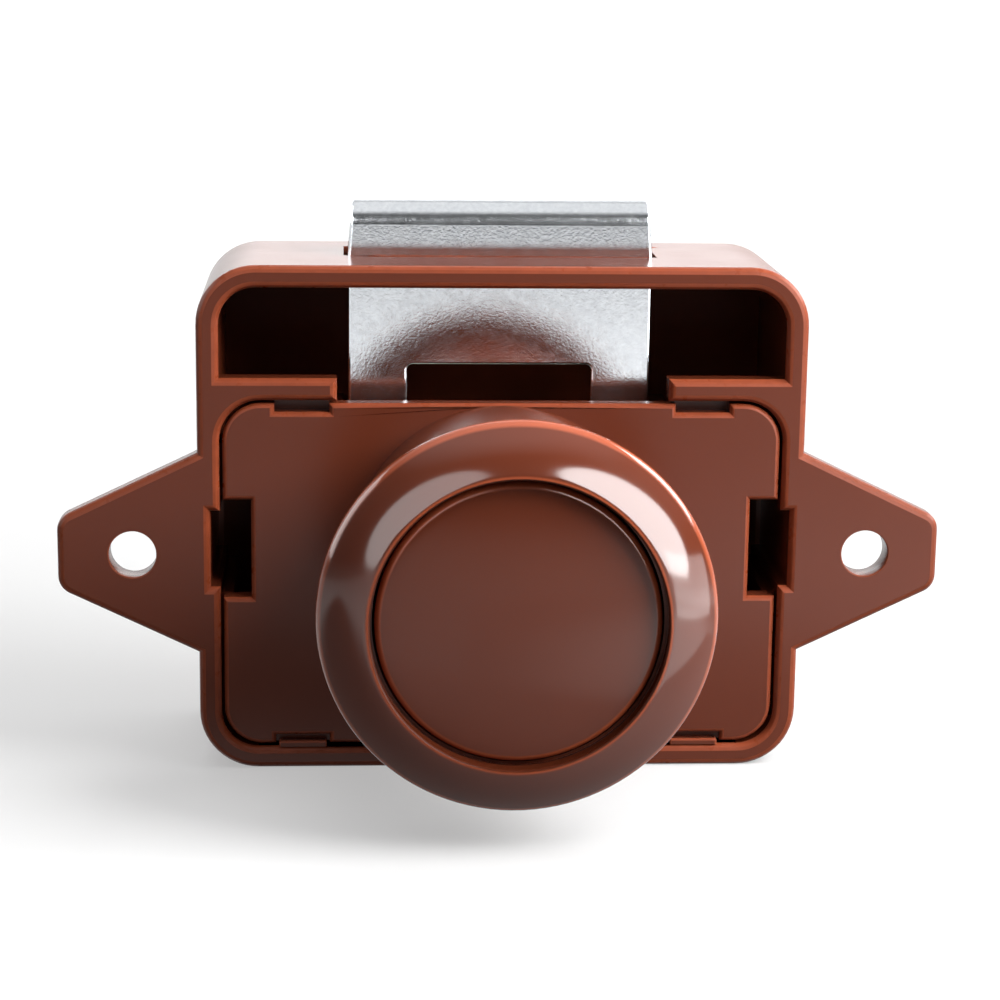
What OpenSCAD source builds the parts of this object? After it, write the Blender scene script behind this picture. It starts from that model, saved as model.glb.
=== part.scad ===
// Push button cabinet lock: a moulded case whose sprung latch is worked by a push-push button.
// X runs along the two screw holes, Y into the case and Z up towards the latch.
// The origin is on the button's axis, on the face that lies against the inside of the door.
// At rest the button is in and the latch is out. All lengths are in millimetres.

/* [Mounting] */
// Distance between the two screw holes
screw_spacing = 50; // [48:0.5:60]
// Diameter of each screw hole
screw_hole_d = 3.2; // [2.5:0.1:4]
// Distance from a screw hole's centre to the tip of its ear
ear_reach = 5.05; // [4:0.05:8]
// Height of an ear where it meets the case
ear_root_h = 13.9; // [10:0.1:20]
// Height of an ear at its tip
ear_tip_h = 5.8; // [4.5:0.1:9]
// Radius of the corners at an ear's tip
ear_corner_r = 1.3; // [0.5:0.1:2]
// Thickness of the ears
ear_t = 2; // [1.5:0.1:4]
// Thickness of the door that the ring and the case hold between them
door_t = 16; // [13:0.5:25]

/* [Case] */
// Width of the case
case_w = 41.2; // [40:0.1:48]
// Height of the case above the button's axis
case_top = 19.65; // [18.5:0.05:24]
// Height of the case below the button's axis
case_bottom = 15.2; // [14.5:0.1:20]
// Thickness of the case's walls
wall = 1.5; // [1.2:0.1:2]
// Radius of the case's outer corners
corner_r = 4; // [2.5:0.1:6]
// Width of the step that the cover sits on
seat_w = 0.8; // [0.5:0.1:1.2]
// Height of the two bars above the cover
bar_h = 1.5; // [1:0.1:2.5]
// Thickness of the rails and ribs inside the case
rib_t = 1.5; // [1:0.1:2]

/* [Cover and barrel] */
// Thickness of the cover
cover_t = 1.6; // [1.2:0.1:2.2]
// Depth of the cover's face below the case's rim
cover_recess = 0.2; // [0.1:0.05:0.5]
// Gap around the cover
cover_gap = 0.2; // [0.1:0.05:0.4]
// Radius of the cover's corners
cover_corner_r = 2.6; // [1.5:0.1:4]
// Outer diameter of the barrel
barrel_d = 20.5; // [20:0.1:23]
// Distance from the barrel to the cover's top edge
barrel_margin = 0.1; // [0:0.05:1]
// Thickness of the barrel's wall under the ring
nose_wall = 0.65; // [0.6:0.05:1.1]
// Width of the notches in the cover's top and bottom edges
edge_notch_w = 3.7; // [2.5:0.1:5]
// Depth of the notches in the cover's top and bottom edges
edge_notch_h = 0.6; // [0.4:0.05:0.9]
// Distance between the two notches in one edge
edge_notch_spacing = 27.1; // [25:0.1:30]
// Width of the notches in the cover's sides
side_notch_w = 1.9; // [1:0.1:3]
// Height of the notches in the cover's sides
side_notch_h = 6.8; // [4:0.1:9]
// Height of the side notches' middle above the button's axis
side_notch_z = 0.3; // [0:0.05:1]
// Depth of the recess in the case's wall beside each side notch
wall_recess_w = 0.65; // [0.3:0.05:0.9]
// Height of the recess in the case's wall
wall_recess_h = 5.3; // [3:0.1:7]

/* [Ring] */
// Outer diameter of the ring
ring_d = 25; // [23.5:0.1:32]
// Gap between the button and the ring's lip
lip_gap = 0.28; // [0.2:0.01:0.7]
// Height of the ring's lip above the door
lip_h = 2.77; // [2.2:0.01:4]
// Height of the straight side of the ring's rim above the door
rim_h = 0.5; // [0.4:0.05:1]
// Height of the bulge of the ring's face above a straight cone
bulge_h = 0.22; // [0.1:0.01:0.4]
// Length of the ring's sleeve inside the door
sleeve_l = 5; // [3.5:0.1:8]
// Thickness of the ring's sleeve
sleeve_t = 0.55; // [0.4:0.05:0.8]
// Thickness of the ring in front of the barrel's nose
nose_cover = 1.5; // [1.2:0.05:1.8]
// Width of the ridge that snaps the ring onto the barrel
snap_w = 0.8; // [0.5:0.1:1.5]
// Height of the ridge that snaps the ring onto the barrel
snap_h = 0.25; // [0.15:0.01:0.4]
// Radius of the ring's lip
lip_r = 0.15; // [0.1:0.05:0.5]
// Radius of the ring's rim
rim_r = 0.8; // [0.3:0.05:1.2]

/* [Button] */
// Gap between the button and the barrel's bore
button_gap = 0.15; // [0.1:0.01:0.4]
// Depth of the button's face below the ring's lip
button_recess = 0.87; // [0.3:0.01:1.5]
// Length of the button's skirt
skirt_l = 10.4; // [8.5:0.1:11]
// Thickness of the button's face
button_face_t = 1.3; // [1:0.1:2]
// Thickness of the button's skirt
skirt_t = 1.2; // [1:0.05:1.3]
// Radius of the button's edge
button_edge_r = 0.45; // [0.2:0.05:0.8]
// Height of the crown on the button's face
crown_h = 0.5; // [0.2:0.05:0.8]
// Length of the collar that guides the button in the barrel
guide_l = 1.5; // [1:0.1:3]
// Distance that the button springs out
button_travel = 6.5; // [5:0.1:8]
// Distance that the button is pressed in to let it out
press_depth = 0.7; // [0.4:0.05:1]

/* [Plunger] */
// Width of the plunger
plunger_w = 8.2; // [7.4:0.1:8.8]
// Height of the plunger
plunger_h = 4.6; // [4:0.1:5.2]
// Length of the plunger's end inside the button's socket
socket_l = 4; // [3:0.1:6]
// Reach of the nibs that clip the plunger into the button
nib_reach = 0.5; // [0.3:0.05:0.6]
// Length of the nibs along the plunger
nib_l = 1; // [0.6:0.1:1.4]
// Height of the nibs across the plunger
nib_h = 2; // [1:0.1:2.4]
// Diameter of the steel pin across the plunger
pin_d = 1.5; // [1.2:0.05:2]
// Width of the lifter around the pin's slots
slot_rim = 0.7; // [0.5:0.05:1]
// Wire diameter of the follower
follower_d = 0.9; // [0.7:0.05:1]
// Depth of the groove that the follower runs in
groove_depth = 1.3; // [1:0.05:1.6]
// Sideways reach of the groove's two branches
groove_reach = 1.5; // [1.2:0.05:2]
// Distance from the follower's tip to the front of the cover
follower_reach = 5.2; // [4.5:0.1:7]
// Length of the block behind the cover that anchors the follower
anchor_l = 3.2; // [2.6:0.1:3.6]
// Height of the block that anchors the follower
anchor_h = 2.2; // [1.6:0.1:3]

/* [Latch] */
// Width of the latch
latch_w = 20.9; // [20:0.1:22.5]
// Thickness of the latch's steel
latch_t = 1.3; // [1:0.05:1.6]
// Depth of the latch's face behind the door
latch_y = 5.4; // [5:0.05:6.2]
// Height of the latch above the case
latch_reach = 3.8; // [3:0.05:4.6]
// Narrowing of the latch's tip on each side
tip_taper = 0.3; // [0:0.05:0.6]
// Width of the window in the latch
window_w = 12.7; // [12.2:0.1:13.4]
// Height of the window above the cover
window_show = 1.8; // [1.2:0.05:3]
// Radius of the corners of the window in the latch
window_r = 0.4; // [0.2:0.05:0.8]
// Outer radius of the fold at the latch's tip
fold_r = 1.65; // [1.5:0.05:2.4]
// Length of the sloping leg behind the fold
ramp_l = 3.2; // [2:0.1:3.8]
// Slope of the leg behind the fold, from upright
ramp_slope = 40; // [30:1:50]
// Height of the lifter's wings
wing_h = 2; // [1.5:0.1:2.4]
// Reach of the lifter's wings into the latch
wing_w = 1.9; // [1.4:0.1:2.2]
// Width of the pegs that hold the springs under the latch
peg_w = 1.6; // [1.2:0.05:1.8]
// Length of the pegs that hold the springs under the latch
peg_l = 2; // [1:0.1:2.2]
// Height of the posts inside the springs on the case's floor
post_h = 3; // [2:0.1:3.4]
// Distance that the latch drops below flush when the button is out
retract_extra = 0.2; // [0:0.05:0.5]

/* [Springs] */
// Outer diameter of the springs under the latch
latch_spring_d = 3.6; // [3.2:0.1:4]
// Wire diameter of the springs under the latch
latch_wire_d = 0.5; // [0.4:0.05:0.6]
// Turns of the springs under the latch
latch_turns = 9; // [6:1:10]
// Gap between the button's skirt and the spring inside it
spring_gap = 0.35; // [0.2:0.05:0.6]
// Wire diameter of the spring behind the button
button_wire_d = 0.8; // [0.6:0.05:1]
// Turns of the spring behind the button
button_turns = 6; // [4:1:8]

/* [Clearances] */
// Gap around the plunger and the latch where they slide
slide_gap = 0.15; // [0.1:0.05:0.25]
// Gap around the pin in the lifter's slots and around the button in the barrel
run_gap = 0.05; // [0.02:0.01:0.09]
// Gap between pieces that move past each other
free_gap = 0.3; // [0.2:0.05:0.4]
// Gap between pieces that are assembled tightly
fit_gap = 0.04; // [0.02:0.01:0.08]

/* [Hidden] */
$fn = 96;
// How far joined shapes of one piece run into each other, and cuts run past a face
lap = 0.5;
// Rings in one turn of a coil, and sides of its wire
coil_rings = 8;
wire_sides = 6;

brown = [0.45, 0.22, 0.15];
nylon = [0.85, 0.83, 0.77];
zinc = [0.75, 0.77, 0.8];
steel = [0.6, 0.61, 0.63];

// Depths, from the door inwards
cover_back = cover_recess + cover_t;
slot_r = pin_d / 2 + run_gap;
lifter_front = cover_back + free_gap;
pin_y = lifter_front + slot_rim + slot_r + button_travel;
lifter_back = pin_y + press_depth + slot_r + slot_rim;
inner_back = lifter_back + slide_gap;
case_depth = inner_back + wall;
plunger_back = inner_back - press_depth - slide_gap;
latch_back = latch_y + latch_t;
latch_mid_y = latch_y + latch_t / 2;

// Widths, measured from the middle
rim_x = case_w / 2 - wall;
cavity_x = rim_x - seat_w;
cheek_in = plunger_w / 2 + slide_gap;
cheek_out = window_w / 2 - free_gap;
wing_out = cheek_out + wing_w;
leg_x = (latch_w + window_w) / 4;
rail_x = latch_w / 2 + free_gap;
bar_x = rail_x + free_gap + slide_gap;
backing_in = wing_out + free_gap;
backing_out = latch_w / 2 - slide_gap;

// Heights, measured from the button's axis
rim_bottom = -case_bottom + wall;
floor_z = rim_bottom + seat_w;
ceiling_z = case_top - wall;
cover_top = barrel_d / 2 + barrel_margin;
bar_bottom = cover_top + cover_gap;
bar_top = bar_bottom + bar_h;
seat_top = cover_top - 2 * rib_t;
window_top = cover_top + window_show;
latch_top = case_top + latch_reach;
slam_travel = latch_reach;
retract = latch_reach + retract_extra;
lift_ratio = retract / button_travel;
press_lift = press_depth * lift_ratio;
lifter_top = retract + slot_r + slot_rim;
bridge_top = -plunger_h / 2 - press_lift - slide_gap;
bridge_bottom = bridge_top - rib_t;
wing_top = lifter_top - slot_rim;
wing_bottom = wing_top - wing_h;
notch_bottom = wing_bottom - run_gap;
notch_top = wing_top + slam_travel + slide_gap;
leg_bottom = notch_bottom - wing_h;
latch_low = leg_bottom - retract - slam_travel;

// The ring, the barrel and the button, measured forwards from the door's inside
nose_end = door_t + lip_h - nose_cover;
nose_r = barrel_d / 2 - sleeve_t;
nose_start = door_t - sleeve_l - slide_gap;
bore_r = nose_r - nose_wall;
ring_bore_r = nose_r + fit_gap;
button_r = bore_r - button_gap;
lip_x = button_r + lip_gap;
lip_front = door_t + lip_h;
snap_f = door_t - sleeve_l / 2;
button_front = lip_front - button_recess;
button_inside = button_front - button_face_t;
skirt_end = button_front - skirt_l;
button_spring_d = 2 * (button_r - skirt_t - spring_gap);
boss_r = (button_spring_d / 2 - button_wire_d) * cos(180 / coil_rings) - slide_gap;
socket_end = button_inside - socket_l;
nib_f = button_inside - socket_l / 2;

// The follower and its groove
groove_w = follower_d + 2 * slide_gap;
tip_y = -follower_reach + cover_recess;
arm_z = -plunger_h / 2 - free_gap - follower_d / 2;
bend_y = cover_back + anchor_l / 2;
anchor_w = follower_d + 2 * rib_t;
anchor_top = arm_z - follower_d / 2 - fit_gap;

// Points along an arc, about a centre, from one angle to another
function arc(centre, r, from, to, steps = 8) =
    [for (i = [0:steps]) let (a = from + (to - from) * i / steps) centre + r * [cos(a), sin(a)]];

// Points along a shallow arc from p to q that bulges to the left of the way
function bulge(p, q, rise, steps = 10) =
    [for (i = [0:steps]) let (t = i / steps, d = (q - p) / norm(q - p))
        p + t * (q - p) + 4 * rise * t * (1 - t) * [-d.y, d.x]];

// The point where a line from p touches a circle, on the outer side
function touch(p, centre, r) =
    let (d = centre - p, turn = atan2(d.y, d.x) + 90 + asin(r / norm(d)))
    centre + r * [cos(turn), sin(turn)];

// The middle line of a coil that stands on z = 0
function coil_line(coil_d, wire_d, length, turns) =
    [for (i = [0:turns * coil_rings]) let (r = (coil_d - wire_d) / 2, a = 360 * i / coil_rings)
        [r * cos(a), r * sin(a), wire_d / 2 + (length - wire_d) * i / (turns * coil_rings)]];

// The least gap between a coil's turns, from its middle line
function coil_gap(line, wire_d) =
    min([for (i = [0:len(line) - 1], j = [i + coil_rings / 2:1:len(line) - 1]) norm(line[j] - line[i])])
    - wire_d;

// A slice of an outline in X and Z, from one depth to another
module slab(from, to) {
    translate([0, to, 0]) rotate([90, 0, 0]) linear_extrude(to - from) children();
}

// A slice of an outline in Y and Z, centred on X
module strip(width) {
    rotate([90, 0, 90]) linear_extrude(width, center = true) children();
}

// A turned shape about the button's axis, from an outline of radius and distance forwards
module turned() {
    rotate([90, 0, 0]) rotate_extrude() children();
}

// A box between two corners
module box(low, high) {
    translate(low) cube(high - low);
}

// The children, and their mirror image across the middle
module both_sides() {
    children();
    mirror([1, 0, 0]) children();
}

// A rectangle with round corners, between two corners
module rounded(low, high, r) {
    translate([low.x + r, low.y]) square([high.x - low.x - 2 * r, high.y - low.y]);
    translate([low.x, low.y + r]) square([high.x - low.x, high.y - low.y - 2 * r]);
    for (x = [low.x + r, high.x - r], z = [low.y + r, high.y - r]) translate([x, z]) circle(r);
}

// A straight track with round ends, from p to q
module track(p, q, width) {
    translate(p) rotate(atan2(q.y - p.y, q.x - p.x)) translate([0, -width / 2]) square([norm(q - p), width]);
    translate(p) circle(d = width);
    translate(q) circle(d = width);
}

// A coiled wire that stands on z = 0, as one closed tube of triangles
module coil(coil_d, wire_d, length, turns) {
    line = coil_line(coil_d, wire_d, length, turns);
    last = len(line) - 1;
    sides = wire_sides;
    points = [for (i = [0:last], k = [0:sides - 1])
        let (a = 360 * i / coil_rings, b = 360 * k / sides)
        line[i] + wire_d / 2 * [cos(b) * cos(a), cos(b) * sin(a), sin(b)]];
    skin = [for (i = [0:last - 1], k = [0:sides - 1])
        let (a = i * sides + k, b = i * sides + (k + 1) % sides)
        each [[a, a + sides, b + sides], [a, b + sides, b]]];
    start = [for (k = [1:sides - 2]) [0, k, k + 1]];
    end = [for (k = [1:sides - 2]) [last * sides, last * sides + k + 1, last * sides + k]];
    polyhedron(points, concat(skin, start, end));
}

// One ear's outline, with its tip to the right
module ear_outline() {
    tip = screw_spacing / 2 + ear_reach;
    centre = [tip - ear_corner_r, ear_tip_h / 2 - ear_corner_r];
    root = [case_w / 2, ear_root_h / 2];
    top = touch(root, centre, ear_corner_r);
    polygon([[case_w / 2 - lap, root.y], root, top, [tip, centre.y],
        [tip, -centre.y], [top.x, -top.y], [root.x, -root.y], [case_w / 2 - lap, -root.y]]);
    for (z = [centre.y, -centre.y]) translate([centre.x, z]) circle(ear_corner_r);
}

// The hollow of the case: the rim, the space behind the cover and the pockets above it
module case_hollow() {
    slab(-lap, cover_back)
        rounded([-rim_x, rim_bottom], [rim_x, ceiling_z], corner_r - wall);
    slab(cover_back - lap, inner_back) rounded([-cavity_x, floor_z], [cavity_x, cover_top], rib_t);
    slab(cover_back - lap, inner_back) intersection() {
        rounded([-rim_x, rim_bottom], [rim_x, ceiling_z], corner_r - wall);
        translate([-rim_x, seat_top]) square([2 * rim_x, ceiling_z - seat_top]);
    }
}

// The bar above one side of the cover, which follows the cover's round corner
module bar_outline() {
    opening_r = cover_corner_r + cover_gap;
    difference() {
        translate([bar_x, bar_bottom - opening_r]) square([rim_x + lap - bar_x, bar_h + opening_r]);
        rounded([-rim_x, rim_bottom], [rim_x, bar_bottom], opening_r);
    }
}

// The case's inner ribs on one side: bar, rail, latch backing, lifter guide, spring post and lug
module case_ribs() {
    slab(0, cover_back) bar_outline();
    box([rail_x, latch_y - rib_t / 2, latch_low], [rail_x + rib_t, inner_back + lap, cover_top - rib_t]);
    box([backing_in, latch_back + slide_gap, leg_bottom + wing_h],
        [backing_out, inner_back + lap, cover_top - rib_t]);
    box([cheek_out + slide_gap, latch_back + wing_w, bridge_bottom - retract],
        [cheek_out + slide_gap + rib_t, inner_back + lap, lifter_top]);
    translate([leg_x, latch_mid_y, floor_z - lap])
        cylinder(h = post_h + lap, d = latch_spring_d - 2 * latch_wire_d - 2 * slide_gap);
    box([edge_notch_spacing / 2 - edge_notch_w / 2 + cover_gap, cover_recess / 2, rim_bottom - lap],
        [edge_notch_spacing / 2 + edge_notch_w / 2 - cover_gap, cover_back / 2 - run_gap,
        rim_bottom + edge_notch_h - cover_gap]);
}

module case() {
    color(brown) difference() {
        union() {
            difference() {
                slab(0, case_depth)
                    rounded([-case_w / 2, -case_bottom], [case_w / 2, case_top], corner_r);
                case_hollow();
            }
            both_sides() {
                slab(0, ear_t) ear_outline();
                case_ribs();
            }
        }
        both_sides() {
            slab(-lap, ear_t + lap) translate([screw_spacing / 2, 0]) circle(d = screw_hole_d);
            translate([0, 0, side_notch_z]) {
                box([cavity_x - lap, cover_recess, -side_notch_h / 2],
                    [rim_x, lifter_back, side_notch_h / 2]);
                box([rim_x - lap, -lap, -wall_recess_h / 2],
                    [rim_x + wall_recess_w, lifter_back, wall_recess_h / 2]);
            }
        }
        box([-rail_x, latch_y - slide_gap, ceiling_z - lap],
            [rail_x, ramp_end().x + free_gap, case_top + lap]);
    }
}

// The barrel, with the neck and the groove that hold the ring
module barrel_outline() {
    difference() {
        union() {
            translate([0, -cover_recess - lap]) square([barrel_d / 2, nose_start + cover_recess + lap]);
            square([nose_r, nose_end]);
        }
        translate([0, -cover_recess]) square([bore_r, nose_end + cover_recess + lap]);
        translate([nose_r - snap_h - fit_gap, snap_f - snap_w / 2 - fit_gap])
            square([snap_h + lap, snap_w + 2 * fit_gap]);
    }
}

// The cover's back on one side: the tab behind the bar and the rib in front of the latch
module cover_ribs() {
    tab_x = edge_notch_spacing / 2;
    box([tab_x - edge_notch_w / 2, cover_back + fit_gap, bar_bottom - rib_t],
        [tab_x + edge_notch_w / 2, cover_back + rib_t, bar_top - rib_t / 2]);
    box([tab_x - edge_notch_w / 2, cover_back - lap, bar_bottom - 2 * rib_t],
        [tab_x + edge_notch_w / 2, cover_back + rib_t, bar_bottom - rib_t + fit_gap]);
    box([backing_in, cover_back - lap, leg_bottom + wing_h],
        [backing_out, latch_y - slide_gap, cover_top - rib_t]);
}

// The cuts in the cover's edges on one side
module cover_notches() {
    x = edge_notch_spacing / 2;
    box([x - edge_notch_w / 2, -lap, cover_top - edge_notch_h],
        [x + edge_notch_w / 2, cover_back + fit_gap, cover_top + lap]);
    box([x - edge_notch_w / 2, -lap, rim_bottom - lap],
        [x + edge_notch_w / 2, cover_back / 2, rim_bottom + cover_gap + edge_notch_h]);
    translate([0, 0, side_notch_z]) box([rim_x - cover_gap - side_notch_w, -lap, -side_notch_h / 2],
        [rim_x + lap, cover_back + lap, side_notch_h / 2]);
}

module cover_plate() {
    color(brown) difference() {
        union() {
            slab(cover_recess, cover_back) rounded([-rim_x + cover_gap, rim_bottom + cover_gap],
                [rim_x - cover_gap, cover_top], cover_corner_r);
            turned() barrel_outline();
            both_sides() cover_ribs();
            box([-anchor_w / 2, cover_back - lap, anchor_top - anchor_h],
                [anchor_w / 2, cover_back + anchor_l, anchor_top]);
        }
        both_sides() cover_notches();
        box([-plunger_w / 2 - slide_gap, -lap, -plunger_h / 2 - slide_gap],
            [plunger_w / 2 + slide_gap, cover_back + lap, plunger_h / 2 + slide_gap]);
        box([-groove_reach, -lap, arm_z - follower_d / 2 - slide_gap],
            [groove_reach, cover_back + fit_gap, 0]);
        translate([0, bend_y, anchor_top - anchor_h + lap])
            cylinder(h = anchor_h, d = follower_d + 2 * fit_gap);
    }
}

module bezel_ring() {
    lip = [lip_x, lip_front];
    rim = arc([ring_d / 2 - rim_r, door_t + rim_h], rim_r, 0, 45);
    color(brown) turned() difference() {
        union() {
            polygon(concat(
                [[lip.x, door_t], [ring_d / 2, door_t]], rim,
                bulge(rim[len(rim) - 1], lip + [lip_r, 0], -bulge_h),
                arc(lip + [lip_r, -lip_r], lip_r, 90, 180)));
            translate([ring_bore_r, door_t - sleeve_l])
                square([barrel_d / 2 - ring_bore_r, sleeve_l + fit_gap]);
            translate([ring_bore_r - snap_h + fit_gap, snap_f - snap_w / 2])
                square([snap_h + fit_gap, snap_w]);
        }
        translate([0, door_t - fit_gap]) square([ring_bore_r, nose_end - door_t + 2 * fit_gap]);
    }
}

// The cap's outline: a crowned face with a round edge, a skirt, its guide and a round socket
module cap_outline() {
    skirt_in = button_r - skirt_t;
    face_edge = button_r - button_edge_r;
    turn = 2 * atan(crown_h / face_edge);
    edge = arc([face_edge, button_front - button_edge_r], button_edge_r, 0, 90 - turn);
    start = edge[len(edge) - 1];
    face_r = start.x / sin(turn);
    face = arc([0, start.y - face_r * cos(turn)], face_r, 90 - turn, 90);
    difference() {
        union() {
            polygon(concat([[0, skirt_end], [button_r, skirt_end]], edge, face));
            translate([0, skirt_end]) square([bore_r - run_gap, guide_l]);
        }
        translate([boss_r, skirt_end - lap]) square([skirt_in - boss_r, button_inside - skirt_end + lap]);
        translate([0, skirt_end - lap]) square([skirt_in, socket_end - skirt_end + lap]);
    }
}

module button_cap() {
    half = [plunger_w / 2 + fit_gap, plunger_h / 2 + fit_gap];
    color(brown) difference() {
        turned() cap_outline();
        box([-half.x, -button_inside, -half.y], [half.x, -socket_end + lap, half.y]);
        box([-boss_r, -nib_f - nib_l / 2 - fit_gap, -nib_h / 2 - fit_gap],
            [boss_r, -nib_f + nib_l / 2 + fit_gap, nib_h / 2 + fit_gap]);
    }
}

// The heart-shaped loop that the follower's tip runs round, seen from above
function groove_points() = [
    [0, tip_y],
    [groove_reach / 2, tip_y - press_depth],
    [groove_reach, tip_y + press_depth],
    [groove_reach, tip_y + button_travel / 2],
    [0, tip_y + button_travel],
    [-groove_reach, tip_y + button_travel / 2],
    [-groove_reach, tip_y + press_depth],
    [-groove_reach / 2, tip_y - press_depth]];

module plunger() {
    half = [plunger_w / 2, plunger_h / 2];
    loop = groove_points();
    color(nylon) difference() {
        union() {
            box([-half.x, -button_inside + fit_gap, -half.y], [half.x, plunger_back, half.y]);
            box([-half.x - nib_reach, -nib_f - nib_l / 2, -nib_h / 2],
                [half.x + nib_reach, -nib_f + nib_l / 2, nib_h / 2]);
        }
        translate([0, pin_y, 0]) rotate([0, 90, 0])
            cylinder(h = plunger_w + 2 * lap, d = pin_d + fit_gap, center = true);
        translate([0, 0, -half.y - lap]) linear_extrude(groove_depth + lap)
            for (i = [0:len(loop) - 1]) track(loop[i], loop[(i + 1) % len(loop)], groove_w);
    }
}

module cross_pin() {
    color(steel) translate([0, pin_y, 0]) rotate([0, 90, 0])
        cylinder(h = 2 * cheek_out, d = pin_d, center = true);
}

module lifter() {
    color(nylon) difference() {
        union() {
            both_sides() {
                box([cheek_in, lifter_front, bridge_bottom], [cheek_out, lifter_back, lifter_top]);
                box([cheek_out - lap, latch_y - lap, wing_bottom], [wing_out, latch_back + lap, wing_top]);
            }
            box([-cheek_in - lap, cover_back + anchor_l + free_gap, bridge_bottom],
                [cheek_in + lap, lifter_back, bridge_top]);
        }
        strip(2 * wing_out + 2 * lap)
            track([pin_y + press_depth, -press_lift], [pin_y - button_travel, retract], 2 * slot_r);
    }
}

// The end of the latch's sloping leg, on its outer side, in Y and Z
function ramp_end() = [latch_y + fold_r, latch_top - fold_r] + fold_r * [cos(ramp_slope), sin(ramp_slope)]
    + ramp_l * [sin(ramp_slope), -cos(ramp_slope)];

// The latch from the side: the upright sheet, the fold at its tip and the sloping leg
module latch_outline() {
    centre = [latch_y + fold_r, latch_top - fold_r];
    reach = 2 * fold_r;
    translate([latch_y, leg_bottom]) square([latch_t, centre.y - leg_bottom]);
    intersection() {
        translate(centre) difference() {
            circle(fold_r);
            circle(fold_r - latch_t);
        }
        polygon([centre, centre - [reach, 0], centre + [-reach, reach],
            centre + [0, reach], centre + reach * [1 / tan(ramp_slope), 1]]);
    }
    translate(centre) rotate(ramp_slope) translate([fold_r - latch_t, -ramp_l]) square([latch_t, ramp_l]);
}

// The latch from the front, with a tapered tip
module latch_front() {
    half = latch_w / 2;
    polygon([[-half, leg_bottom], [half, leg_bottom], [half, case_top], [half - tip_taper, latch_top],
        [-half + tip_taper, latch_top], [-half, case_top]]);
}

module latch_bolt() {
    color(zinc) difference() {
        union() {
            intersection() {
                strip(latch_w) latch_outline();
                slab(latch_y - lap, ramp_end().x + lap) latch_front();
            }
            both_sides() box([leg_x - peg_w / 2, latch_y, leg_bottom - peg_l],
                [leg_x + peg_w / 2, latch_back, leg_bottom + lap]);
        }
        slab(latch_y - lap, latch_back + lap)
            rounded([-window_w / 2, leg_bottom - 2 * lap], [window_w / 2, window_top], window_r);
        both_sides() box([window_w / 2 - lap, latch_y - lap, notch_bottom],
            [wing_out + slide_gap, latch_back + lap, notch_top]);
    }
}

// A spring that stands on the case's floor under one leg of the latch
module latch_spring(side) {
    length = leg_bottom - floor_z - 2 * fit_gap;
    color(steel) translate([side * leg_x, latch_mid_y, floor_z + fit_gap])
        coil(latch_spring_d, latch_wire_d, length, latch_turns);
    echo("latch spring: least gap between turns",
        coil_gap(coil_line(latch_spring_d, latch_wire_d, length, latch_turns), latch_wire_d));
}

module latch_spring_left() {
    latch_spring(-1);
}

module latch_spring_right() {
    latch_spring(1);
}

module button_spring() {
    length = button_inside + cover_recess - 2 * fit_gap;
    color(steel) translate([0, cover_recess - fit_gap, 0]) rotate([90, 0, 0])
        coil(button_spring_d, button_wire_d, length, button_turns);
    echo("button spring: least gap between turns",
        coil_gap(coil_line(button_spring_d, button_wire_d, length, button_turns), button_wire_d));
}

// The bent wire whose tip rides in the plunger's groove
module follower_wire() {
    r = follower_d / 2;
    tip_z = -plunger_h / 2 + groove_depth - slide_gap;
    stem_z = anchor_top - anchor_h + lap + fit_gap;
    color(steel) {
        translate([0, bend_y, arm_z]) rotate([90, 0, 0]) cylinder(h = bend_y - tip_y, r = r);
        for (y = [bend_y, tip_y]) translate([0, y, arm_z]) sphere(r);
        translate([0, tip_y, arm_z]) cylinder(h = tip_z - arm_z, r = r);
        translate([0, bend_y, stem_z]) cylinder(h = arm_z - stem_z, r = r);
    }
}

case();
cover_plate();
bezel_ring();
button_cap();
plunger();
cross_pin();
lifter();
latch_bolt();
latch_spring_left();
latch_spring_right();
button_spring();
follower_wire();
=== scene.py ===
"""Looks for the push button cabinet lock: brown moulded plastic, a zinc-plated latch and steel springs."""

import math

import bpy
from mathutils import Matrix, Vector


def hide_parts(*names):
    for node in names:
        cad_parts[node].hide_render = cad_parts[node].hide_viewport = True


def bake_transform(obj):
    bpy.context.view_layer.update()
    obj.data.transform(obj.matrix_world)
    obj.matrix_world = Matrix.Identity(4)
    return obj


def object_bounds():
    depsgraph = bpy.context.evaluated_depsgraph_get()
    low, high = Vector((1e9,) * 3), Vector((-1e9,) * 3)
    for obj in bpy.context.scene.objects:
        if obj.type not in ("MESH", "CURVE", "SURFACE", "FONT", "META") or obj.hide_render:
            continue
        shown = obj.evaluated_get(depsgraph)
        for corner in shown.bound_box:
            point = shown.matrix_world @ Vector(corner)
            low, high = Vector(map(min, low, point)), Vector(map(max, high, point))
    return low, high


MM = 0.001

# Camera, fitted to the photograph, in millimetres, radians and pixels
CAMERA_AT = (-10.84073, -170.47697, 42.31964)
CAMERA_YAW = 0.06255
CAMERA_PITCH = 0.22194
CAMERA_ROLL = -0.01336
FOCAL_PX = 2581.896
IMAGE_PX = 1000
SENSOR_MM = 36

# Distances in metres between which the camera sees
CAMERA_NEAR = 0.01
CAMERA_FAR = 20

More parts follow.
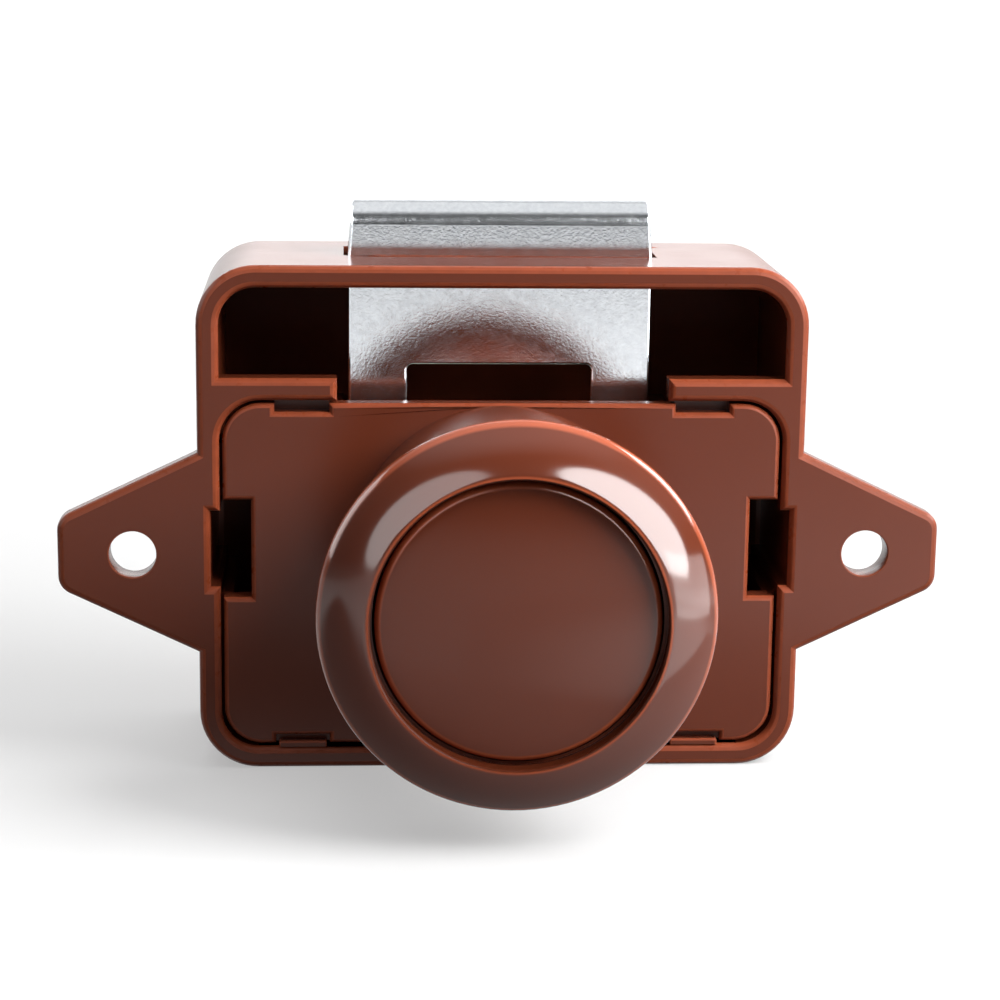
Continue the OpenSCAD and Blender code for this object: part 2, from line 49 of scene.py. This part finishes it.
# Colours, linear
BROWN = (0.122, 0.0255, 0.0105)
BROWN_DARK = (0.114, 0.0237, 0.0097)
# Painted highlights for the rounded edges, weaker on the case and the cover, weakest on the ears
BROWN_EDGE_HIGHLIGHT = (0.340, 0.072, 0.029)
BROWN_CASE_EDGE_HIGHLIGHT = (0.245, 0.052, 0.021)
BROWN_EAR_EDGE_HIGHLIGHT = (0.180, 0.038, 0.015)
# Painted shade on the ring's lip wall
BROWN_LIP_SHADE = (0.060, 0.0125, 0.005)
# Painted shade inside the case
BROWN_INSIDE_SHADE = (0.072, 0.015, 0.006)
NYLON = (0.66, 0.63, 0.55)
NYLON_DARK = tuple(0.9 * c for c in NYLON)
ZINC = (0.90, 0.93, 0.96)
ZINC_DARK = (0.80, 0.83, 0.87)
SPRING_STEEL = (0.42, 0.43, 0.45)
SPRING_STEEL_DARK = tuple(0.8 * c for c in SPRING_STEEL)

# The paper's colour as it is seen, its colour for the light it throws on the object, and its own glow
PAPER_SEEN = 0.36
PAPER_BOUNCE = 0.15
PAPER_GLOW = 0.4

# Values of a noise between which most of it lies
NOISE_LOW = 0.3
NOISE_HIGH = 0.7

# Moulded plastics: range of roughness, depth of the grain in millimetres and specular level
CASE_FINISH = dict(rough=(0.20, 0.28), grain_mm=0.0006, specular=0.26)
RING_FINISH = dict(rough=(0.09, 0.13), grain_mm=0.0003, specular=0.70)
BUTTON_FINISH = dict(rough=(0.13, 0.17), grain_mm=0.0004, specular=0.30)

# Moulded plastics: size in millimetres and detail of the noise in the colour, the roughness and the grain
PLASTIC_BLOTCH = dict(size_mm=6, detail=1)
PLASTIC_SHEEN = dict(size_mm=4, detail=1)
PLASTIC_GRAIN = dict(size_mm=0.18, detail=1)

# Painted highlight on the rounded edges: darkest blotches' share, noise sizes, roughness and gloss
EDGE_DARK = 0.85
EDGE_BLOTCH_MM = 1.2
EDGE_SHEEN_MM = 0.8
EDGE_ROUGH = (0.26, 0.34)
EDGE_SPECULAR = 0.12

# Plain finishes: two colours with the noise between them, range of roughness with its noise, and the grain
ZINC_FINISH = dict(
    dark=ZINC_DARK, light=ZINC, blotch=dict(size_mm=0.35, detail=5), rough=(0.11, 0.17), sheen_mm=0.4,
    grain=dict(size_mm=0.20, detail=2), grain_mm=0.0060, Metallic=1.0)
NYLON_FINISH = dict(
    dark=NYLON_DARK, light=NYLON, blotch=dict(size_mm=4), rough=(0.35, 0.48), sheen_mm=1,
    grain=dict(size_mm=0.3), grain_mm=0.004, IOR=1.53)
WIRE_FINISH = dict(
    dark=SPRING_STEEL_DARK, light=SPRING_STEEL, blotch=dict(size_mm=0.8), rough=(0.22, 0.36), sheen_mm=0.4,
    Metallic=1.0)

# Radii in millimetres on the button and ring where painted highlights and painted shade start and are full
BUTTON_EDGE_HIGHLIGHT = ((8.46, 8.60, BROWN_EDGE_HIGHLIGHT),)
# On the ring: painted highlights on the lip's line and the rim, painted shade on the lip wall
RING_HIGHLIGHTS_AND_SHADE = ((9.50, 9.38, BROWN_EDGE_HIGHLIGHT), (9.34, 9.26, BROWN_LIP_SHADE), (12.14, 12.28, BROWN_EDGE_HIGHLIGHT))

# Radii on the ring, in millimetres, between which its gloss grows from that of its lip
LIP_GLOSS = (9.36, 9.52)
LIP_SPECULAR = 0.10

# Boxes in millimetres with a duller finish, its colour and its specular level
# Inside the case, the darker colour is painted shade in the hollows
CASE_INSIDE_SHADE = ((-19.4, 0.5, -13.9), (19.4, 12.6, 18.3), BROWN_INSIDE_SHADE, 0.03)
RING_SLEEVE = ((-13, -15.98, -13), (13, -9, 13), BROWN, 0.08)

# Distances from the middle, in millimetres, where the ears' weaker painted edge highlight starts and is full
EAR_FROM = (20.4, 21.2)

# Boxes in millimetres, from low to high corner, X taken from the middle, and the share of the bevel
CASE_EDGES = (
    ((0, 0.3, -13.8), (19.85, 13, 18.2), 0),
    ((11.5, 0.05, -14.3), (15.6, 0.9, -13.2), 0.3),
    ((22.9, -1, -2.1), (27.1, 4, 2.1), 0.2),
    ((0, 0.5, 19.2), (12, 9.5, 20), 0),
)
COVER_EDGES = (
    ((0, 0.5, -20), (30, 10, 20), 0),
    ((0, -30, -12), (12, 0.1, 12), 0),
    ((0, -0.1, -10), (10, 0.5, 10), 0),
)

# Rounded edges of each CAD node: width in millimetres, boxes with other shares, turn that counts as flat
EDGES = dict(
    case=dict(width_mm=0.45, rules=CASE_EDGES),
    cover_plate=dict(width_mm=0.30, rules=COVER_EDGES),
    bezel_ring=dict(width_mm=0.12),
    button_cap=dict(width_mm=0.15, flat_within=0.02),
    latch_bolt=dict(width_mm=0.18),
    plunger=dict(width_mm=0.12),
    lifter=dict(width_mm=0.12),
)

# Faces that turn by fewer degrees than this are one face
FLAT_WITHIN = 0.3

# Convex edges that turn by more degrees than this are rounded
ROUND_FROM = 35

# Edges that aren't rounded and turn by more degrees than this are shaded as edges
SHARP_FROM = 30

# Steps across a rounded edge, the share that counts as none, and the weight of large faces in the shading
ROUND_STEPS = 3
NO_SHARE = 0.001
FACE_WEIGHT = 100

# Points of a mesh closer than this, in millimetres, are one point
WELD_MM = 0.0005

# Springs, in millimetres: axis, ends, outer diameter, wire diameter and turns
LATCH_SPRING = dict(x=8.4, y=6.05, low=-12.86, high=0.71, d=3.6, wire=0.5, turns=9)
BUTTON_SPRING = dict(back=0.16, front=-16.56, d=14.7, wire=0.8, turns=6)
RINGS_PER_TURN = 40
WIRE_SIDES = 14

# The sweep of paper, in metres: its front, where it starts to rise, its bend, its height and half its width
SWEEP_FRONT = -3.0
SWEEP_AT = 0.22
SWEEP_R = 0.15
SWEEP_H = 0.7
SWEEP_HALF_W = 1.2
SWEEP_STEPS = 16

# Cards in metres, Z from the floor: a dark one in front, and two on the floor for light and shade
# Each card is a painted reflection: seen in gloss alone, with no shadow and no light on surfaces
CARDS = (
    dict(name="front_card", at=(0, -0.36, 0.025), half=(0.16, 0.025), turn=(math.pi / 2, 0, 0), light=0.02),
    dict(name="light_card", at=(0.045, -0.050, 0.0002), half=(0.050, 0.045), light=2.4, border=1.0),
    dict(name="shade_card", at=(-0.068, -0.044, 0.0004), half=(0.122, 0.028), turn=(0, 0, 0.418), light=0.18,
         border=0.9),
)

# Shares of a card's half size between which its light fades to that of its border
CARD_FADE = (0.4, 1.0)

# Lamps in metres: place, what they face, size and radiance
LAMPS = (
    dict(name="key", at=(0.130, -0.066, 0.108), target=(0, 0, 0), size=(0.115, 0.115), radiance=18.5,
         shines=False),
    dict(name="fill", at=(-0.26, -0.31, 0.28), target=(0, 0, 0), size=(0.30, 0.30), radiance=0.65,
         shines=False),
    dict(name="top", at=(0.06, 0.10, 0.45), target=(0, 0.02, 0), size=(0.45, 0.34), radiance=2.6,
         shines=False),
    dict(name="right_softbox", at=(0.475, -0.368, 0.164), target=(0.475, 0, 0.164), size=(0.765, 0.392),
         radiance=13, shades=False, shape="ELLIPSE"),
    dict(name="left_softbox", at=(-0.215, -0.368, 0.139), target=(-0.215, 0, 0.139), size=(0.375, 0.280),
         radiance=3.4, shades=False, shape="ELLIPSE"),
    dict(name="right_card", at=(0.065, -0.043, -0.002), target=(0.011, -0.018, 0), size=(0.05, 0.024),
         radiance=3.5, shades=False),
    dict(name="right_strip", at=(0.28, 0.08, 0.17), target=(0, -0.017, 0), size=(0.22, 0.18), radiance=12,
         shades=False),
    dict(name="left_strip", at=(-0.28, 0.05, 0.12), target=(0, -0.017, 0), size=(0.22, 0.18), radiance=4,
         shades=False),
    dict(name="back_strip", at=(0, 0.31, 0.105), target=(0, 0, 0.01), size=(0.5, 0.075), radiance=2.2),
    dict(name="sweep_light", at=(0, 0.10, 0.28), target=(0, 0.40, 0.22), size=(0.6, 0.10), radiance=12,
         shines=False),
)

# The room's light at heights from 0 at the horizon to 1 overhead
ROOM = ((0.02, 0.25), (0.09, 0.10), (0.68, 0.10), (0.88, 0.85))


def add_camera():
    forward = Vector((math.sin(CAMERA_YAW) * math.cos(CAMERA_PITCH),
                      math.cos(CAMERA_YAW) * math.cos(CAMERA_PITCH),
                      -math.sin(CAMERA_PITCH)))
    right = Vector((math.cos(CAMERA_YAW), -math.sin(CAMERA_YAW), 0))
    down = forward.cross(right)
    c, s = math.cos(CAMERA_ROLL), math.sin(CAMERA_ROLL)
    axes = Matrix((c * right + s * down, s * right - c * down, -forward)).transposed()
    data = bpy.data.cameras.new("camera")
    data.sensor_width = SENSOR_MM
    data.lens = FOCAL_PX / IMAGE_PX * SENSOR_MM
    data.clip_start = CAMERA_NEAR
    data.clip_end = CAMERA_FAR
    camera = bpy.data.objects.new("camera", data)
    camera.matrix_world = Matrix.Translation(MM * Vector(CAMERA_AT)) @ axes.to_4x4()
    bpy.context.scene.collection.objects.link(camera)
    bpy.context.scene.camera = camera


class Tree:
    """A node tree, with short calls for the sums that materials and modifiers share."""

    def __init__(self, tree):
        self.tree = tree

    def add(self, kind, **values):
        node = self.tree.nodes.new(kind)
        for key, value in values.items():
            setattr(node, key, value)
        return node

    def feed(self, node, index, value):
        if isinstance(value, bpy.types.NodeSocket):
            self.tree.links.new(value, node.inputs[index])
        else:
            node.inputs[index].default_value = value

    def math(self, operation, first, second=0.0):
        node = self.add("ShaderNodeMath", operation=operation)
        self.feed(node, 0, first)
        self.feed(node, 1, second)
        return node.outputs[0]

    def vector(self, operation, first, second=(0, 0, 0)):
        node = self.add("ShaderNodeVectorMath", operation=operation)
        self.feed(node, 0, first)
        self.feed(node, 1, second)
        return node.outputs["Value" if operation == "LENGTH" else "Vector"]

    def split(self, where):
        node = self.add("ShaderNodeSeparateXYZ")
        self.feed(node, 0, where)
        return node.outputs

    def within(self, where, low, high):
        """1 inside a box, in millimetres, and 0 outside it."""
        middle = MM * (Vector(low) + Vector(high)) / 2
        half = MM * (Vector(high) - Vector(low)) / 2
        off = self.vector("SUBTRACT", self.vector("ABSOLUTE", self.vector("SUBTRACT", where, middle)), half)
        x, y, z = self.split(off)
        return self.math("LESS_THAN", self.math("MAXIMUM", self.math("MAXIMUM", x, y), z), 0.0)


class Nodes(Tree):
    """The node tree of a new material with one shader."""

    def __init__(self, name):
        self.material = bpy.data.materials.new(name)
        self.material.use_nodes = True
        super().__init__(self.material.node_tree)
        self.shader = self.tree.nodes["Principled BSDF"]
        self.place = self.add("ShaderNodeTexCoord").outputs["Object"]

    def join(self, source, target):
        self.tree.links.new(source, self.shader.inputs[target] if isinstance(target, str) else target)

    def noise(self, size_mm, detail=3.0, roughness=0.55):
        node = self.add("ShaderNodeTexNoise")
        self.join(self.place, node.inputs["Vector"])
        node.inputs["Scale"].default_value = 1 / (size_mm * MM)
        node.inputs["Detail"].default_value = detail
        node.inputs["Roughness"].default_value = roughness
        return node.outputs["Fac"]

    def radius(self):
        """Distance from the button's axis."""
        return self.vector("LENGTH", self.vector("MULTIPLY", self.place, (1, 0, 1)))

    def span(self, source, low, high, start=NOISE_LOW, end=NOISE_HIGH):
        node = self.add("ShaderNodeMapRange")
        self.join(source, node.inputs["Value"])
        node.inputs["From Min"].default_value = start
        node.inputs["From Max"].default_value = end
        node.inputs["To Min"].default_value = low
        node.inputs["To Max"].default_value = high
        return node.outputs["Result"]

    def ramp(self, source, low, high, start=NOISE_LOW, end=NOISE_HIGH):
        node = self.add("ShaderNodeValToRGB")
        self.join(source, node.inputs["Fac"])
        ends = node.color_ramp.elements
        ends[0].position, ends[0].color = start, (*low, 1)
        ends[1].position, ends[1].color = end, (*high, 1)
        return node.outputs["Color"]

    def mix(self, share, first, second):
        node = self.add("ShaderNodeMix", data_type="RGBA")
        self.join(share, node.inputs["Factor"])
        self.join(first, node.inputs["A"])
        node.inputs["B"].default_value = (*second, 1)
        return node.outputs["Result"]

    def blend(self, share, first, second):
        node = self.add("ShaderNodeMix", data_type="FLOAT")
        self.join(share, node.inputs["Factor"])
        self.feed(node, "A", first)
        self.feed(node, "B", second)
        return node.outputs["Result"]

    def bump(self, source, depth_mm):
        node = self.add("ShaderNodeBump")
        self.join(source, node.inputs["Height"])
        node.inputs["Distance"].default_value = depth_mm * MM
        self.join(node.outputs["Normal"], "Normal")

    def set(self, **values):
        for key, value in values.items():
            self.shader.inputs[key.replace("_", " ")].default_value = value


def brown_plastic(name, rough, grain_mm, specular, edges=(), dull_and_shade=None, lip=None):
    """Moulded brown plastic.

    edges are radii where another colour comes in: painted highlights, and painted shade on the ring's lip
    wall;
    dull_and_shade is a box with a duller finish, whose darker colour inside the case is painted shade,
    and lip is a pair of radii between which the gloss grows from that of the ring's lip.
    """
    n = Nodes(name)
    colour = n.ramp(n.noise(**PLASTIC_BLOTCH), BROWN_DARK, BROWN, 0, 1)
    gloss = None
    # Painted highlights on the edges, and painted shade on the ring's lip wall, by radius
    for start, full, painted_colour in edges:
        colour = n.mix(n.span(n.radius(), 0, 1, start * MM, full * MM), colour, painted_colour)
    if lip:
        gloss = n.span(n.radius(), LIP_SPECULAR, specular, lip[0] * MM, lip[1] * MM)
    # Inside the case the box's darker colour is painted shade
    if dull_and_shade:
        low, high, dull_shade_colour, dull_specular = dull_and_shade
        dull_shade_mask = n.within(n.place, low, high)
        colour = n.mix(dull_shade_mask, colour, dull_shade_colour)
        gloss = n.blend(dull_shade_mask, gloss or specular, dull_specular)
    if gloss:
        n.join(gloss, "Specular IOR Level")
    else:
        n.set(Specular_IOR_Level=specular)
    n.join(colour, "Base Color")
    n.join(n.span(n.noise(**PLASTIC_SHEEN), *rough, 0, 1), "Roughness")
    n.bump(n.noise(**PLASTIC_GRAIN), grain_mm)
    return n.material


def edge_highlight_plastic(name, bright):
    """The plastic along the rounded edges, lighter with a painted highlight that is weaker on the ears."""
    n = Nodes(name)
    colour = n.ramp(n.noise(EDGE_BLOTCH_MM), tuple(EDGE_DARK * c for c in bright), bright)
    out = n.math("ABSOLUTE", n.split(n.place)[0])
    colour = n.mix(n.span(out, 0, 1, EAR_FROM[0] * MM, EAR_FROM[1] * MM), colour, BROWN_EAR_EDGE_HIGHLIGHT)
    n.join(colour, "Base Color")
    n.join(n.span(n.noise(EDGE_SHEEN_MM), *EDGE_ROUGH), "Roughness")
    n.set(Specular_IOR_Level=EDGE_SPECULAR)
    return n.material


def plain(name, dark, light, blotch, rough, sheen_mm, grain=None, grain_mm=0, **values):
    """A finish that is the same all over; values go to the shader's own sockets."""
    n = Nodes(name)
    n.join(n.ramp(n.noise(**blotch), dark, light), "Base Color")
    n.join(n.span(n.noise(sheen_mm), *rough), "Roughness")
    if grain:
        n.bump(n.noise(**grain), grain_mm)
    n.set(**values)
    return n.material


def dress(node, material, edge_highlight_material=None):
    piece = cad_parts[node]
    for slot in piece.material_slots:
        slot.material = material
    if edge_highlight_material:
        piece.data.materials.append(edge_highlight_material)


class Fields(Tree):
    """A node group that gives convex edges their share of a bevel and keeps other edges sharp."""

    def __init__(self, name, rules):
        super().__init__(bpy.data.node_groups.new(name, "GeometryNodeTree"))
        for way in ("INPUT", "OUTPUT"):
            self.tree.interface.new_socket("Geometry", in_out=way, socket_type="NodeSocketGeometry")
        start = self.add("NodeGroupInput")
        end = self.add("NodeGroupOutput")
        turn = self.add("GeometryNodeInputMeshEdgeAngle")
        where = self.mirrored(self.add("GeometryNodeInputPosition").outputs[0])
        shares = 1.0
        for low, high, value in rules:
            within = self.within(where, low, high)
            kept = self.math("MULTIPLY", shares, self.math("SUBTRACT", 1.0, within))
            shares = self.math("ADD", kept, self.math("MULTIPLY", within, value))
        convex = self.math("GREATER_THAN", turn.outputs["Signed Angle"], math.radians(ROUND_FROM))
        shares = self.math("MULTIPLY", convex, shares)
        bent = self.math("GREATER_THAN", turn.outputs["Unsigned Angle"], math.radians(SHARP_FROM))
        sharp = self.math("MULTIPLY", bent, self.math("LESS_THAN", shares, NO_SHARE))
        weighted = self.store(start.outputs[0], "FLOAT", "bevel_weight_edge", shares)
        self.tree.links.new(self.store(weighted, "BOOLEAN", "sharp_edge", sharp), end.inputs[0])

    def store(self, mesh, kind, name, value):
        node = self.add("GeometryNodeStoreNamedAttribute", domain="EDGE", data_type=kind)
        node.inputs["Name"].default_value = name
        self.tree.links.new(mesh, node.inputs["Geometry"])
        self.tree.links.new(value, node.inputs["Value"])
        return node.outputs[0]

    def mirrored(self, where):
        """The place with its X taken as a distance from the middle, so that one rule serves both sides."""
        x, y, z = self.split(where)
        joined = self.add("ShaderNodeCombineXYZ")
        for i, value in enumerate((self.math("ABSOLUTE", x), y, z)):
            self.tree.links.new(value, joined.inputs[i])
        return joined.outputs[0]


def weld(piece, name):
    piece.modifiers.new(name, "WELD").merge_threshold = WELD_MM * MM


def soften(node, width_mm, rules=(), flat_within=FLAT_WITHIN):
    """Rounds a CAD node's convex edges with modifiers alone; rules are boxes with other shares."""
    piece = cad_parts[node]
    weld(piece, "weld")
    flat = piece.modifiers.new("flat", "DECIMATE")
    flat.decimate_type = "DISSOLVE"
    flat.angle_limit = math.radians(flat_within)
    shares = piece.modifiers.new("shares", "NODES")
    shares.node_group = Fields(node + "_edges", rules).tree
    edges = piece.modifiers.new("edges", "BEVEL")
    edges.width = width_mm * MM
    edges.segments = ROUND_STEPS
    edges.limit_method = "WEIGHT"
    edges.use_clamp_overlap = False
    edges.miter_outer = "MITER_ARC"
    # The rounded faces take the last slot, which on the case, the cover and the ring holds the painted edge
    # highlight
    edges.material = len(piece.material_slots) - 1
    weld(piece, "clean")
    normals = piece.modifiers.new("normals", "WEIGHTED_NORMAL")
    normals.keep_sharp = True
    normals.weight = FACE_WEIGHT


def link(name, mesh):
    piece = bpy.data.objects.new(name, mesh)
    bpy.context.scene.collection.objects.link(piece)
    return piece


def coil(name, points_at, wire_mm, first, last, turns):
    """A round wire along a coil, closed at both ends; points_at gives a centre line point and its axes."""
    rings = int(RINGS_PER_TURN * turns) + 1
    verts, faces = [], []
    for i in range(rings):
        t = first + (last - first) * i / (rings - 1)
        centre, out, up = points_at(t)
        for k in range(WIRE_SIDES):
            b = 2 * math.pi * k / WIRE_SIDES
            verts.append(MM * (centre + wire_mm / 2 * (math.cos(b) * out + math.sin(b) * up)))
    for i in range(rings - 1):
        for k in range(WIRE_SIDES):
            a, b = i * WIRE_SIDES + k, i * WIRE_SIDES + (k + 1) % WIRE_SIDES
            faces.append((a, a + WIRE_SIDES, b + WIRE_SIDES, b))
    faces.append(tuple(range(WIRE_SIDES)))
    faces.append(tuple(reversed(range((rings - 1) * WIRE_SIDES, rings * WIRE_SIDES))))
    mesh = bpy.data.meshes.new(name)
    mesh.from_pydata(verts, [], faces)
    mesh.polygons.foreach_set("use_smooth", [True] * len(faces))
    mesh.update()
    return link(name, mesh)


def upright_line(side):
    """The centre line of a latch spring, along Z."""
    s = LATCH_SPRING
    r = (s["d"] - s["wire"]) / 2
    low, high = s["low"] + s["wire"] / 2, s["high"] - s["wire"] / 2

    def at(t):
        a = 2 * math.pi * s["turns"] * t
        out = Vector((math.cos(a), math.sin(a), 0))
        middle = Vector((side * s["x"], s["y"], low + (high - low) * t))
        return middle + r * out, out, Vector((0, 0, 1))
    return at


def level_line():
    """The centre line of the button's spring, along -Y."""
    s = BUTTON_SPRING
    r = (s["d"] - s["wire"]) / 2
    back, front = s["back"] - s["wire"] / 2, s["front"] + s["wire"] / 2

    def at(t):
        a = 2 * math.pi * s["turns"] * t
        out = Vector((math.cos(a), 0, math.sin(a)))
        return Vector((0, back + (front - back) * t, 0)) + r * out, out, Vector((0, -1, 0))
    return at


def add_latch_springs(material):
    """Each spring is split halfway into a lower half and an upper half."""
    s = LATCH_SPRING
    middle = (s["low"] + s["high"]) / 2
    for side, word in ((-1, "left"), (1, "right")):
        node = "latch_spring_" + word
        lower = coil(node + "_lower", upright_line(side), s["wire"], 0, 0.5, s["turns"] / 2)
        upper = coil(node + "_upper", upright_line(side), s["wire"], 0.5, 1, s["turns"] / 2)
        ends = [MM * Vector((side * s["x"], s["y"], z)) for z in (s["low"], middle, s["high"])]
        for piece, bodies, start, end in ((lower, ("case", "lifter"), ends[0], ends[1]),
                                          (upper, ("lifter", "latch"), ends[1], ends[2])):
            piece.data.materials.append(material)
            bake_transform(piece)
            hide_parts(node)


def add_button_spring(material):
    s = BUTTON_SPRING
    piece = coil("button_spring_coil", level_line(), s["wire"], 0, 1, s["turns"])
    piece.data.materials.append(material)
    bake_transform(piece)
    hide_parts("button_spring")


def bare_material(name):
    """A new material without nodes, and its tree."""
    material = bpy.data.materials.new(name)
    material.use_nodes = True
    material.node_tree.nodes.clear()
    return material, Tree(material.node_tree)


def paper(name):
    """White paper, whose bounced light on the object is held down."""
    material, n = bare_material(name)
    bounced = n.add("ShaderNodeLightPath").outputs["Is Diffuse Ray"]
    shade = n.add("ShaderNodeMix", data_type="RGBA")
    n.feed(shade, "Factor", bounced)
    shade.inputs["A"].default_value = (PAPER_SEEN, PAPER_SEEN, PAPER_SEEN, 1)
    shade.inputs["B"].default_value = (PAPER_BOUNCE, PAPER_BOUNCE, PAPER_BOUNCE, 1)
    sheet = n.add("ShaderNodeBsdfDiffuse")
    n.feed(sheet, "Color", shade.outputs["Result"])
    glow = n.add("ShaderNodeEmission")
    n.feed(glow, "Strength", n.math("MULTIPLY", n.math("SUBTRACT", 1.0, bounced), PAPER_GLOW))
    both = n.add("ShaderNodeAddShader")
    n.feed(both, 0, sheet.outputs[0])
    n.feed(both, 1, glow.outputs[0])
    n.feed(n.add("ShaderNodeOutputMaterial"), "Surface", both.outputs[0])
    return material


def add_sweep(height):
    """The floor and the backdrop behind it, as one bent sheet of paper."""
    line = [(SWEEP_FRONT, 0.0), (SWEEP_AT, 0.0)]
    for i in range(1, SWEEP_STEPS + 1):
        a = math.pi / 2 * i / SWEEP_STEPS
        line.append((SWEEP_AT + SWEEP_R * math.sin(a), SWEEP_R * (1 - math.cos(a))))
    line.append((SWEEP_AT + SWEEP_R, SWEEP_H))
    verts = [(x, y, z + height) for y, z in line for x in (-SWEEP_HALF_W, SWEEP_HALF_W)]
    faces = [(2 * i, 2 * i + 1, 2 * i + 3, 2 * i + 2) for i in range(len(line) - 1)]
    mesh = bpy.data.meshes.new("sweep")
    mesh.from_pydata(verts, [], faces)
    mesh.polygons.foreach_set("use_smooth", [True] * len(faces))
    mesh.materials.append(paper("sweep_paper"))
    sweep = link("sweep", mesh)


def add_card(height, name, at, half, light, border=None, turn=(0, 0, 0)):
    """A painted reflection, seen in gloss alone, as bright as light or fading from it to border at the edge.
    """
    material, n = bare_material(name)
    glow = n.add("ShaderNodeEmission")
    n.feed(glow, "Strength", light)
    if border is not None:
        fade = n.add("ShaderNodeMapRange", interpolation_type="SMOOTHSTEP")
        n.feed(fade, "Value", n.vector("LENGTH", n.add("ShaderNodeTexCoord").outputs["Object"]))
        n.feed(fade, "From Min", CARD_FADE[0])
        n.feed(fade, "From Max", CARD_FADE[1])
        n.feed(fade, "To Min", light)
        n.feed(fade, "To Max", border)
        n.feed(glow, "Strength", fade.outputs["Result"])
    n.feed(n.add("ShaderNodeOutputMaterial"), "Surface", glow.outputs[0])
    mesh = bpy.data.meshes.new(name)
    mesh.from_pydata([(-1, -1, 0), (1, -1, 0), (1, 1, 0), (-1, 1, 0)], [], [(0, 1, 2, 3)])
    mesh.materials.append(material)
    card = link(name, mesh)
    card.location = (at[0], at[1], height + at[2])
    card.scale = (*half, 1)
    card.rotation_euler = turn
    card.visible_camera = False
    card.visible_diffuse = False
    card.visible_shadow = False


def add_lamp(name, at, target, size, radiance, shades=True, shines=True, shape="RECTANGLE"):
    """A soft lamp; without shades it is seen in gloss alone, without shines it lights surfaces alone."""
    data = bpy.data.lights.new(name, "AREA")
    data.shape = shape
    data.size, data.size_y = size
    area = size[0] * size[1] * (math.pi / 4 if shape == "ELLIPSE" else 1)
    data.energy = radiance * math.pi * area
    lamp = link(name, data)
    lamp.location = at
    lamp.rotation_mode = "QUATERNION"
    lamp.rotation_quaternion = (Vector(target) - Vector(at)).to_track_quat("-Z", "Y")
    lamp.visible_camera = False
    lamp.visible_diffuse = shades
    lamp.visible_glossy = shines


def add_world():
    """A dim room with a pale horizon and ceiling."""
    world = bpy.data.worlds.new("studio")
    bpy.context.scene.world = world
    world.use_nodes = True
    n = Tree(world.node_tree)
    ramp = n.add("ShaderNodeValToRGB")
    n.feed(ramp, "Fac", n.split(n.add("ShaderNodeTexCoord").outputs["Generated"])["Z"])
    n.feed(n.tree.nodes["Background"], "Color", ramp.outputs["Color"])
    stops = ramp.color_ramp.elements
    stops.remove(stops[1])
    for i, (height, light) in enumerate(ROOM):
        stop = stops.new(height) if i else stops[0]
        stop.position, stop.color = height, (light, light, light, 1)


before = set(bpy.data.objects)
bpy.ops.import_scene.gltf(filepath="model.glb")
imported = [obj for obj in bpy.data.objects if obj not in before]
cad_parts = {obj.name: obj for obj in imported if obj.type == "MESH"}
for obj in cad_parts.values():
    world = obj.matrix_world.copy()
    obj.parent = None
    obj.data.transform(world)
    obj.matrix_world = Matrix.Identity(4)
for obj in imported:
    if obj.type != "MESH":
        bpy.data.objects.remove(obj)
cad_low, cad_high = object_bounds()
bpy.context.scene.view_settings.view_transform = "Standard"

add_camera()

case_plastic = brown_plastic("case_plastic", **CASE_FINISH, dull_and_shade=CASE_INSIDE_SHADE)
cover_plastic = brown_plastic("cover_plastic", **CASE_FINISH)
ring_plastic = brown_plastic(
    "ring_plastic", **RING_FINISH, edges=RING_HIGHLIGHTS_AND_SHADE, dull_and_shade=RING_SLEEVE, lip=LIP_GLOSS)
button_plastic = brown_plastic("button_plastic", **BUTTON_FINISH, edges=BUTTON_EDGE_HIGHLIGHT)
case_edge = edge_highlight_plastic("case_edge", BROWN_CASE_EDGE_HIGHLIGHT)
ring_edge = edge_highlight_plastic("ring_edge", BROWN_EDGE_HIGHLIGHT)
plated = plain("zinc_plate", **ZINC_FINISH)
white_nylon = plain("white_nylon", **NYLON_FINISH)
bright_wire = plain("bright_wire", **WIRE_FINISH)

dress("case", case_plastic, case_edge)
dress("cover_plate", cover_plastic, case_edge)
dress("bezel_ring", ring_plastic, ring_edge)
dress("button_cap", button_plastic)
dress("latch_bolt", plated)
for name in ("plunger", "lifter"):
    dress(name, white_nylon)
for name in ("cross_pin", "follower_wire"):
    dress(name, bright_wire)

for node, edges in EDGES.items():
    soften(node, **edges)

add_latch_springs(bright_wire)
add_button_spring(bright_wire)

add_sweep(cad_low.z)
for card in CARDS:
    add_card(cad_low.z, **card)
add_world()
for lamp in LAMPS:
    add_lamp(**lamp)
